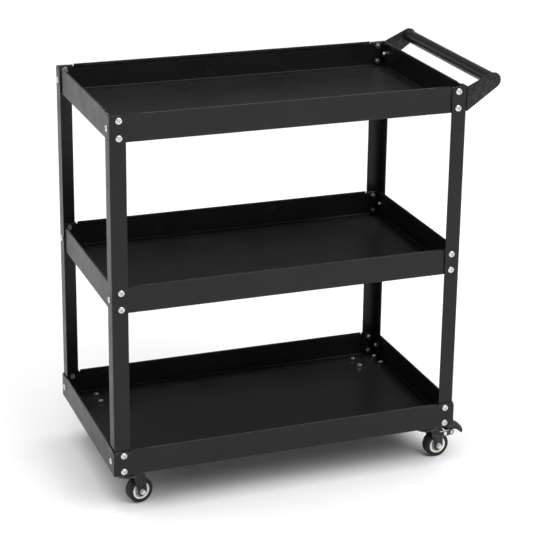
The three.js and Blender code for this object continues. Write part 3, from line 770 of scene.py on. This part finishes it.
# ------------------------------------------------------------------ handle
def bracket(name, sy):
    x0 = LENGTH / 2 + GAP
    cx, cz = LENGTH / 2 + TIP_X, TOPS["top"] + TIP_Z
    foot, head = TOPS["top"] - 50, TOPS["top"] - 2

    def tangent(px, pz, side):
        dx, dz = cx - px, cz - pz
        return math.degrees(math.atan2(dz, dx) + side * math.acos(TIP_R / math.hypot(dx, dz)) + math.pi)

    b = 2.4
    a0 = tangent(x0, foot, 1) - 360
    a1 = tangent(x0, head, -1)
    t = 2.0
    # arm plate, drawn in (x, z)
    arm = [(x0 + b, foot + 0.9)] + arc(cx, cz, TIP_R, a0, a1, 26) + [(x0 + b, head + 0.6)]
    arm_ob = plate(arm, t, "arm")
    arm_ob.data.transform(T(0, WIDTH / 2, 0) @ XZ)
    # flange with rounded free corners, and the bend that joins it to the arm
    f = POST_FLANGE
    r = 6.0
    cols = []
    us = [r * (1 - math.cos(math.radians(a))) for a in range(0, 91, 15)] + [14.0, 22.0, f - b]
    for u in us:
        drop = r - math.sqrt(max(0.0, r * r - (r - u) ** 2)) if u < r else 0.0
        y = WIDTH / 2 - f + u
        zs = [foot + drop, foot + 8, foot + 24, head - 8, head - drop]
        cols.append([Vector((x0, y, z)) for z in zs])
    for px, py in arc(x0 + b, WIDTH / 2 - b, b, 180, 90, 6)[1:]:
        zs = [foot + (0.9 if px > x0 + 2 else 0.2), foot + 8, foot + 24, head - 8, head + (0.6 if px > x0 + 2 else 0.1)]
        cols.append([Vector((px, py, z)) for z in zs])
    bm = sheet_grid(cols, t, "fl")
    fl = obj_from(bm, "fl", 60)
    if sum(p.normal.x * p.area for p in fl.data.polygons) > 0:
        fl.data.flip_normals()
    m = fl.modifiers.new("s", "SOLIDIFY")
    m.thickness = t * MM
    m.offset = -1.0
    m.use_even_offset = True
    apply_modifiers(fl)
    bevel(arm_ob, 0.35, 2, 50)
    ob = join([arm_ob, fl], name)
    shade(ob, 40)
    if sy < 0:
        ob.data.transform(Matrix.Diagonal((1, -1, 1, 1)))
        ob.data.flip_normals()
    ob.data.transform(T(SHIFT, 0, 0))
    return ob


def handle_tube():
    half = WIDTH / 2 - 2.0
    r, wall = 12.5, 1.5
    prof = [(r, -half + 0.3), (r, -half + 8)]
    prof += [(r, -half + 8 + (2 * half - 16) * i / 12) for i in range(1, 12)]
    prof += [(r, half - 8), (r, half - 0.3), (r - wall, half - 0.3), (r - wall, -half + 0.3)]
    tube = lathe(prof, 48, "tube")
    obs = [tube]
    # fillet welds against both brackets, laid as overlapping scales
    for s in (-1, 1):
        bm = bmesh.new()
        seg, m_ = 144, 8
        rings = []
        for i in range(seg):
            a = 2 * math.pi * i / seg
            wob = 1.0 + 0.16 * math.sin(a * 30 + s) + 0.06 * math.sin(a * 7 + 2 * s)
            ring = []
            for k in range(m_):
                th = 2 * math.pi * k / m_
                rr = r - 0.35 + 1.15 * wob * math.cos(th)
                zz = s * (half - 1.05) + 0.75 * wob * math.sin(th)
                ring.append(bm.verts.new((rr * MM * math.cos(a), rr * MM * math.sin(a), zz * MM)))
            rings.append(ring)
        for i in range(seg):
            A, B = rings[i], rings[(i + 1) % seg]
            for k in range(m_):
                bm.faces.new((A[k], B[k], B[(k + 1) % m_], A[(k + 1) % m_]))
        obs.append(obj_from(bm, "weld", 60))
    ob = join(obs, "handle_tube_welded")
    ob.data.transform(T(SHIFT + LENGTH / 2 + TIP_X, 0, TOPS["top"] + TIP_Z) @ AXIS["-y"])
    return ob


# ------------------------------------------------------------------ casters
def rounded_rect(hx, hy, r, n=6):
    return (
        arc(hx - r, hy - r, r, 0, 90, n) + arc(-hx + r, hy - r, r, 90, 180, n)
        + arc(-hx + r, -hy + r, r, 180, 270, n) + arc(hx - r, -hy + r, r, 270, 360, n)
    )


def circle(cx, cy, r, n=24):
    return [(cx + r * math.cos(2 * math.pi * i / n), cy + r * math.sin(2 * math.pi * i / n)) for i in range(n)]


def slot_hole(cx, cy, r, dx, n=10):
    return arc(cx + dx, cy, r, -90, 90, n) + arc(cx - dx, cy, r, 90, 270, n)


def build_caster(c):
    sx, sy = CORNERS[c]
    kx, ky = SHIFT + sx * (LENGTH / 2 - 36), sy * (WIDTH / 2 - 43)
    fixed = T(kx, ky, UNDER)
    turned = fixed @ Matrix.Rotation(math.radians(SWIVEL[c]), 4, "Z")
    sw = "swivel_" + c
    out = 12.6 + 2.2 + GAP
    # ---- top plate with slotted holes and the pressed upper race
    holes = [slot_hole(hx * 25, hy * 18, 3.3, 1.6) for hx in (-1, 1) for hy in (-1, 1)] + [circle(0, 0, 7.3, 32)]
    pl = plate(rounded_rect(32, 25, 5), 2.5, "pl", holes)
    pl.data.transform(T(0, 0, -GAP - 2.5))
    bevel(pl, 0.3, 2, 50)
    race = lathe(
        [(5.2, -6.4), (12.8, -6.4), (13.6, -6.0), (15.2, -5.5), (16.8, -6.0), (17.6, -6.5), (18.8, -6.4), (20.2, -5.4), (21.0, -4.0), (21.6, -2.9), (21.6, -2.6), (5.2, -2.6)],
        56, "race")
    top = join([pl, race], f"caster_{c}_top_plate")
    shade(top, 40)
    place(top, fixed)
    finish(top, STAMPED, "frame", "caster_steel", "caster_plate_" + c)
    # ---- kingpin
    pin = lathe([(0, -17.2), (6.6, -17.2), (7.7, -16.6), (8, -15.8), (8, -14.9), (7.6, -14.6), (4.6, -14.6), (4.6, -2.0), (6.2, -1.7), (6.8, -1.2), (6.3, -0.75), (4.5, -0.6), (2.4, -0.75), (1.8, -1.1), (0, -1.2)], 40, "pin")
    pin.name = f"caster_{c}_kingpin_rivet"
    place(pin, fixed)
    finish(pin, ZINC, "frame", "zinc", "caster_kingpin_" + c)
    # ---- bearing balls
    balls = []
    count = 18
    for i in range(count):
        bm = bmesh.new()
        bmesh.ops.create_icosphere(bm, subdivisions=2, radius=1.7 * MM)
        a = 2 * math.pi * i / count
        bmesh.ops.translate(bm, verts=bm.verts, vec=(15.2 * MM * math.cos(a), 15.2 * MM * math.sin(a), -8.6 * MM))
        balls.append(obj_from(bm, "ball", 180))
    ring = join(balls, f"caster_{c}_balls")
    place(ring, turned)
    finish(ring, STEEL_BALL, sw, "zinc", "caster_ball_ring_" + c)
    # ---- fork: crown pressed with the lower race and a skirt, legs bent down from it
    crown = lathe(
        [(5.2, -10.9), (12.6, -10.9), (13.8, -11.2), (15.2, -11.6), (16.6, -11.2), (17.8, -10.7), (20.6, -10.6), (22.6, -10.9), (24.1, -11.8), (24.9, -13.4), (25.0, -15.2), (25.0, -17.6),
         (22.9, -17.6), (22.8, -15.4), (22.4, -14.0), (21.2, -13.2), (19.0, -13.1), (5.2, -13.1)],
        72, "crown")
    braked = c in ("fr", "rr")
    ax = TRAIL
    outline = [(5.6, -13.6), (5.9, -17.0), (6.4, -22.0), (7.6, -29.0), (9.3, -36.5), (11.4, -43.5), (13.3, -49.5), (14.4, -53.4)]
    outline += arc(ax, AXLE_Z, 9.4, 165, 360, 28)
    outline += [(33.2, -52.0), (33.0, -47.0)]
    if braked:
        outline += [(33.4, -42.0), (34.6, -38.8), (36.6, -36.6)] + arc(36.5, -31.0, 4.9, -50, 62, 10) + [(36.6, -25.6), (33.4, -23.8), (31.6, -21.4)]
    else:
        outline += [(32.2, -38.0), (31.4, -30.0), (31.0, -22.0)]
    outline += [(30.2, -16.0), (29.3, -13.2), (28.2, -12.4), (24.0, -12.3), (6.2, -12.3)]
    legs = []
    for s in (-1, 1):
        hs = [circle(ax, AXLE_Z, 3.2, 24)]
        if braked:
            hs.append(circle(36.5, -31.0, 2.4, 20))
        leg = plate(outline, 2.2, "leg", hs)
        # stands at y = s * 12.6 .. s * 14.8
        leg.data.transform(T(0, 14.8 if s > 0 else -12.6, 0) @ XZ)
        bevel(leg, 0.6, 3, 50)
        # a pressed boss round the axle and a stiffening rib down the leg
        boss = lathe([(3.2, 0), (7.2, 0), (6.7, 0.18), (3.2, 0.2)], 36, "boss")
        boss.data.transform(T(ax, s * 14.8, AXLE_Z) @ AXIS["+y" if s > 0 else "-y"])
        # a shallow pressed rib stiffens the leg
        rib = plate([(15.6, -31.5), (18.6, -29.6), (21.6, -31.0), (25.0, -43.0), (24.2, -45.6), (21.6, -46.6), (19.4, -45.4)], 0.7, "rib")
        rib.data.transform(T(0, 15.25 if s > 0 else -14.55, 0) @ XZ)
        bevel(rib, 0.5, 3, 30)
        legs += [leg, boss, rib]
    # the shoulder that carries the legs out of the crown
    sh = plate([(6.2, -14.8), (27.4, -14.8), (29.0, -13.8), (29.4, -12.4), (29.4, 12.4), (29.0, 13.8), (27.4, 14.8), (6.2, 14.8)], 2.0, "sh")
    sh.data.transform(T(0, 0, -13.2))
    bevel(sh, 0.5, 2, 50)
    fork = join([crown, sh, *legs], f"caster_{c}_fork")
    shade(fork, 35)
    place(fork, turned)
    finish(fork, STAMPED, sw, "caster_steel", "caster_fork_" + c)
    # ---- axle bolt: hexagon head behind, flanged nut and bolt end in front
    parts = []
    nut = hex_nut(9.6, 4.6, 2.95)
    nut.data.transform(T(0, 0, out))
    head = lathe([(0, 0), (5.8, 0), (5.8, 0.5), (5.3, 2.4), (4.2, 3.3), (2.5, 3.6), (0, 3.6)], 40, "h")
    head.data.transform(T(0, 0, -out) @ AXIS["-z"])
    sleeve = lathe([(0, -out), (2.9, -out), (2.9, out + 0.2), (0, out + 0.2)], 28, "s")
    end = threaded_end(2.85, out + 0.2, out + 6.4, 0.9)
    washer = lathe([(3.0, out), (5.75, out), (5.75, out + 0.5), (5.5, out + 0.7), (3.0, out + 0.7)], 36, "w")
    axle = join([nut, head, sleeve, end, washer], f"caster_{c}_axle_bolt")
    shade(axle, 35)
    place(axle, turned @ T(TRAIL, 0, AXLE_Z) @ AXIS["-y"] @ Matrix.Rotation(random.uniform(0, 1), 4, "Z"))
    finish(axle, ZINC, sw, "zinc", "caster_axle_" + c)
    # ---- wheel: tyre with rounded shoulders and a moulding line, dished hub with a rim and webs
    w = 10.5
    R = 25.0
    prof = [(17.6, -w + 0.7), (18.4, -w + 0.25), (20.4, -w), (21.6, -w + 0.15)]
    for a in range(0, 91, 15):
        ar = math.radians(a)
        prof.append((R - 3.2 + 3.2 * math.sin(ar), -w + 3.4 - 3.2 * math.cos(ar)))
    prof += [(R, -w + 6.5), (R, -0.5), (R - 0.12, 0.0), (R, 0.5), (R, w - 6.5)]
    for a in range(90, -1, -15):
        ar = math.radians(a)
        prof.append((R - 3.2 + 3.2 * math.sin(ar), w - 3.4 + 3.2 * math.cos(ar)))
    prof += [(21.6, w - 0.15), (20.4, w), (18.4, w - 0.25), (17.6, w - 0.7)]
    tyre = lathe(prof, 96, f"caster_{c}_tyre_round")
    shade(tyre, 50)
    spin = turned @ T(TRAIL, 0, AXLE_Z) @ AXIS["-y"]
    place(tyre, spin)
    finish(tyre, RUBBER, "wheel_" + c, "rubber", "caster_tyre_" + c)
    rim_ = lathe(
        [(3.35, -w + 0.5), (5.9, -w + 0.5), (6.4, -w + 0.9), (6.5, -3.2), (7.4, -2.2), (11.2, -2.2), (12.1, -3.2), (12.6, -w + 1.7), (13.2, -w + 1.0), (16.9, -w + 0.7), (17.3, -w + 1.3),
         (17.3, w - 1.3), (16.9, w - 0.7), (13.2, w - 1.0), (12.6, w - 1.7), (12.1, 3.2), (11.2, 2.2), (7.4, 2.2), (6.5, 3.2), (6.4, w - 0.9), (5.9, w - 0.5), (3.35, w - 0.5)],
        72, "rimh")
    webs = []
    for i in range(6):
        for s in (-1, 1):
            web = plate([(6.2, -0.7), (12.6, -0.7), (12.6, 0.7), (6.2, 0.7)], 4.4, "web")
            web.data.transform(Matrix.Rotation(i * math.pi / 3, 4, "Z") @ T(0, 0, 2.0 if s > 0 else -6.4))
            bevel(web, 0.25, 2, 50)
            webs.append(web)
    hub = join([rim_, *webs], f"caster_{c}_hub_moulding")
    shade(hub, 35)
    place(hub, spin)
    finish(hub, HUB, "wheel_" + c, "hub_plastic", "caster_hub_" + c)
    # ---- plate bolts
    obs = []
    z = UNDER - GAP - 2.5 - GAP
    grip = GAP + 2.5 + GAP + TRAY_SHEET + GAP
    for hx in (-1, 1):
        for hy in (-1, 1):
            x, y = kx + hx * 25, ky + hy * 18
            obs.append(copy_of("head_small", T(x, y, z) @ AXIS["-z"] @ turn()))
            obs.append(copy_of("nut", T(x, y, z + grip) @ turn()))
            sh_ = lathe([(0, -0.1), (2.6, -0.1), (2.6, grip + 0.5), (0, grip + 0.5)], 16, "sh")
            sh_.data.transform(T(x, y, z))
            obs.append(sh_)
    finish(join(obs, f"caster_{c}_plate_bolts"), ZINC, "frame", "zinc", "bolts_caster_" + c)
    if braked:
        build_brake(c, turned, out)


def build_brake(c, turned, out):
    bx, bz = 36.5, -31.0
    qx, qz = 51.6, -31.0
    sw, br = "swivel_" + c, "brake_" + c
    lug = out + 1.6 + GAP
    # pivot rivet
    prof = [(0, -lug - 1.7), (2.2, -lug - 1.7), (3.4, -lug - 1.2), (3.9, -lug - 0.5), (3.9, -lug), (2.1, -lug), (2.1, lug), (3.9, lug), (3.9, lug + 0.5), (3.4, lug + 1.2), (2.2, lug + 1.7), (0, lug + 1.7)]
    piv = lathe(prof, 40, f"brake_{c}_pivot_rivet")
    shade(piv, 35)
    place(piv, turned @ T(bx, 0, bz) @ AXIS["-y"])
    finish(piv, ZINC, sw, "zinc", "brake_pivot_" + c)
    # lever: coated side plates and web; bright rivets, fingers, tongue and shoe
    dark, bright = [], []
    hole = [circle(bx, bz, 2.4, 20)]
    side = arc(bx, bz, 4.6, 90, 270, 12) + [(45, -36.0)] + arc(qx, qz, 5.6, -90, 60, 10) + [(50.5, -25.4), (43.2, -25.4)]
    for s in (-1, 1):
        pl = plate(side, 1.6, "lv", hole)
        pl.data.transform(T(0, (out + 1.6) if s > 0 else -out, 0) @ XZ)
        bevel(pl, 0.3, 2, 50)
        dark.append(pl)
        rivet = lathe([(0, 0), (3.8, 0), (3.75, 0.5), (3.3, 1.2), (2.2, 1.75), (0, 1.8)], 36, "rv")
        rivet.data.transform(T(qx, s * (out + 1.5), qz) @ AXIS["+y" if s > 0 else "-y"])
        bright.append(rivet)
        finger = plate([(24.6, -26.5), (44.0, -26.8), (46.5, -26.2), (46.5, -24.9), (44.0, -24.9), (25.0, -24.7), (24.2, -25.6)], 1.5, "fg")
        finger.data.transform(T(0, (out + 1.55) if s > 0 else -out - 0.05, 0) @ XZ)
        bevel(finger, 0.3, 2, 40)
        bright.append(finger)
    reach = out + 1.6
    web = plate(rounded_rect(7.0, reach - 0.05, 1.2, 4), 1.5, "web")
    web.data.transform(T(50.0, 0, -30.35))
    bevel(web, 0.35, 2, 50)
    dark.append(web)
    rod = lathe([(0, -out), (2.0, -out), (2.0, out), (0, out)], 24, "rod")
    rod.data.transform(T(qx, 0, qz) @ AXIS["+y"])
    bright.append(rod)
    # shoe: a curled strip that drops from the cross rod towards the tyre
    strip = [(qx - 1.7, -28.6), (qx - 1.9, -33.0), (50.2, -38.2), (49.2, -41.6), (48.8, -43.4), (49.6, -44.0), (50.4, -43.8), (50.8, -41.4), (51.6, -37.8), (qx + 0.6, -33.2), (qx + 1.0, -28.6)]
    shoe = plate(strip, 16.0, "shoe")
    shoe.data.transform(T(0, 8, 0) @ XZ)
    bevel(shoe, 0.3, 2, 40)
    bright.append(shoe)
    tongue = plate([(47.6, -29.4), (49.0, -29.4), (49.0, -25.0), (49.6, -24.3), (65.8, -24.3), (65.8, -22.9), (48.6, -22.9), (47.6, -23.8)], 13.8, "tg")
    tongue.data.transform(T(0, 6.9, 0) @ XZ)
    bright.append(tongue)
    lever = join(dark, f"brake_{c}_lever_plates")
    shade(lever, 35)
    place(lever, turned)
    finish(lever, STAMPED, br, "caster_steel", "brake_lever_" + c)
    fittings = join(bright, f"brake_{c}_lever_fittings")
    shade(fittings, 35)
    place(fittings, turned)
    finish(fittings, ZINC_LEVER, br, "zinc", "brake_lever_" + c)
    # pedal: a winged shell with a curled toe, ribbed grip and a hollow underside
    top = [(44.0, -24.0), (46.2, -21.7), (50.0, -19.6), (55.0, -17.8), (61.0, -16.8), (67.0, -17.5), (72.4, -20.1), (76.8, -24.0), (80.1, -29.0), (81.6, -34.0), (81.7, -37.6), (80.6, -40.2)]
    bot = [(44.6, -27.3), (47.6, -27.5), (51.0, -27.6), (56.5, -27.6), (62.0, -27.8), (66.5, -28.4), (70.0, -30.0), (73.0, -33.0), (75.1, -36.4), (76.6, -39.0), (77.8, -40.3), (79.0, -40.7)]
    ny = 14
    hw = 11.4
    bm = bmesh.new()
    loops = []
    for j in range(ny + 1):
        v = -1 + 2 * j / ny
        row = []
        # the wing narrows a little at the toe and its edges roll over
        roll_ = (abs(v) ** 5)
        for i, (x, z) in enumerate(top):
            k = i / (len(top) - 1)
            half = hw * (0.80 + 0.20 * math.sin(math.pi * min(1.0, 0.30 + 0.62 * k)))
            row.append((x - 0.8 * roll_, v * half, z - 1.9 * roll_ * (1 - 0.3 * k)))
        for i, (x, z) in reversed(list(enumerate(bot))):
            k = i / (len(bot) - 1)
            half = hw * (0.80 + 0.20 * math.sin(math.pi * min(1.0, 0.30 + 0.62 * k)))
            row.append((x, v * half * 0.985, z + 0.5 * roll_))
        loops.append([bm.verts.new(Vector(p) * MM) for p in row])
    n_ = len(loops[0])
    for a, b in zip(loops, loops[1:]):
        for i in range(n_):
            k = (i + 1) % n_
            bm.faces.new((a[i], a[k], b[k], b[i]))
    bm.faces.new(loops[0][::-1])
    bm.faces.new(loops[-1])
    body = obj_from(bm, "pd", 50)
    sub = body.modifiers.new("sub", "SUBSURF")
    sub.levels = 1
    sub.render_levels = 1
    apply_modifiers(body)
    cutter = plate([(47.1, -31), (49.5, -31), (49.5, -24.8), (66.4, -24.8), (66.4, -22.4), (47.1, -22.4)], 14.8, "ct")
    cutter.data.transform(T(0, 7.4, 0) @ XZ)
    boolean(body, cutter)
    ribs = []
    for i in range(5):
        k = 0.36 + 0.11 * i
        f = k * (len(top) - 1)
        i0 = int(f)
        x = top[i0][0] + (top[i0 + 1][0] - top[i0][0]) * (f - i0)
        z = top[i0][1] + (top[i0 + 1][1] - top[i0][1]) * (f - i0)
        dx, dz = top[i0 + 1][0] - top[i0][0], top[i0 + 1][1] - top[i0][1]
        ang = math.atan2(dz, dx)
        rib = lathe([(0, -8.2), (0.5, -8.1), (0.75, -7.6), (0.75, 7.6), (0.5, 8.1), (0, 8.2)], 14, "rib")
        rib.data.transform(T(x - 0.35 * math.sin(ang) * -1, 0, z - 0.28) @ AXIS["+y"])
        ribs.append(rib)
    pedal = join([body, *ribs], f"brake_{c}_pedal_moulding")
    shade(pedal, 40)
    place(pedal, turned)
    finish(pedal, PEDAL, br, "pedal_plastic", "brake_pedal_" + c)


# ------------------------------------------------------------------ assemble
for tier in TOPS:
    finish(build_tray(tier), COAT_TRAY[tier], "frame", "powder_coat", "tray_" + tier)
for c in CORNERS:
    finish(build_post(c), COAT_POST[c], "frame", "powder_coat", "post_" + c)
    for tier in TOPS:
        finish(bolt_set(tier, c), ZINC, "frame", "zinc", f"bolts_{tier}_{c}")
    build_caster(c)
finish(bracket("handle_bracket_front_arm", -1), COAT_HANDLE, "frame", "powder_coat", "handle_bracket_front")
finish(bracket("handle_bracket_rear_arm", 1), COAT_HANDLE, "frame", "powder_coat", "handle_bracket_rear")
finish(handle_tube(), COAT_HANDLE, "frame", "powder_coat", "handle_tube")
for p in PROTO.values():
    bpy.data.objects.remove(p)

# ------------------------------------------------------------------ stage
bm = bmesh.new()
bmesh.ops.create_grid(bm, x_segments=8, y_segments=8, size=9.0)
floor = obj_from(bm, "studio_floor", None)
fm, fnt, fb = new_material("studio_floor_paper")
fn = N(fnt)
fnt.links.new(fn.mix(fn.maprange(fn.noise(1.3, 4.0, 0.5), 0.3, 0.7, 0.0, 1.0), (0.86, 0.86, 0.865), (0.89, 0.89, 0.893)), fb.inputs["Base Color"])
fb.inputs["Roughness"].default_value = 0.75
fb.inputs["Specular IOR Level"].default_value = 0.2
floor.data.materials.append(fm)

# A pale room: white round the horizon, dim panels above it, and a broad bright ceiling.
world = bpy.data.worlds.new("studio")
world.use_nodes = True
wn = world.node_tree
w_dir = wn.nodes.new("ShaderNodeTexCoord")
w_xyz = wn.nodes.new("ShaderNodeSeparateXYZ")
w_ramp = wn.nodes.new("ShaderNodeValToRGB")
wn.links.new(w_dir.outputs["Generated"], w_xyz.inputs[0])
wn.links.new(w_xyz.outputs["Z"], w_ramp.inputs[0])
el = w_ramp.color_ramp.elements
stops = ((0.0, 0.46), (0.13, 0.46), (0.23, 0.075), (0.70, 0.075), (0.84, 1.0))
while len(el) < len(stops):
    el.new(0.5)
for e, (pos, v) in zip(el, stops):
    e.position = pos
    e.color = (v, v, v, 1.0)
wn.links.new(w_ramp.outputs["Color"], wn.nodes["Background"].inputs["Color"])
wn.nodes["Background"].inputs["Strength"].default_value = 2.45
bpy.context.scene.world = world


def area(name, loc, target, size, power, color=(1, 1, 1)):
    d = bpy.data.lights.new(name, "AREA")
    d.shape = "RECTANGLE"
    d.size, d.size_y = size
    d.energy = power
    d.color = color
    o = bpy.data.objects.new(name, d)
    bpy.context.scene.collection.objects.link(o)
    o.location = loc
    o.rotation_euler = (Vector(target) - Vector(loc)).to_track_quat("-Z", "Y").to_euler()
    return o


area("key_softbox", (1.4, -3.0, 3.4), (0, -0.3, 0.2), (3.0, 2.4), 105)
area("side_softbox", (-3.4, 0.4, 2.8), (0, 0, 0.4), (2.0, 2.6), 28)

cam = bpy.data.cameras.new("camera")
cam.sensor_width = 36.0
cam.sensor_fit = "HORIZONTAL"
cam.lens = 1813.58 * 36.0 / 533.0
cam.shift_x = (266.5 - 275.61) / 533.0
cam.shift_y = (200.0 - 266.5) / 533.0
cam.clip_start = 0.05
cam.clip_end = 60.0
cam_ob = bpy.data.objects.new("camera", cam)
bpy.context.scene.collection.objects.link(cam_ob)
yaw, pitch, roll = (math.radians(a) for a in (20.60, -18.37, 0.77))
fwd = Vector((math.sin(yaw) * math.cos(pitch), math.cos(yaw) * math.cos(pitch), math.sin(pitch)))
right = Vector((math.cos(yaw), -math.sin(yaw), 0.0))
up = right.cross(fwd)
r2 = math.cos(roll) * right + math.sin(roll) * up
u2 = -math.sin(roll) * right + math.cos(roll) * up
rot = Matrix((r2, u2, -fwd)).transposed()
cam_ob.matrix_world = Matrix.Translation(((-1139.75 + SHIFT) * MM, -3135.15 * MM, 1636.06 * MM)) @ rot.to_4x4()
bpy.context.scene.camera = cam_ob
bpy.context.scene.view_settings.view_transform = "Standard"
bpy.context.scene.view_settings.look = "None"
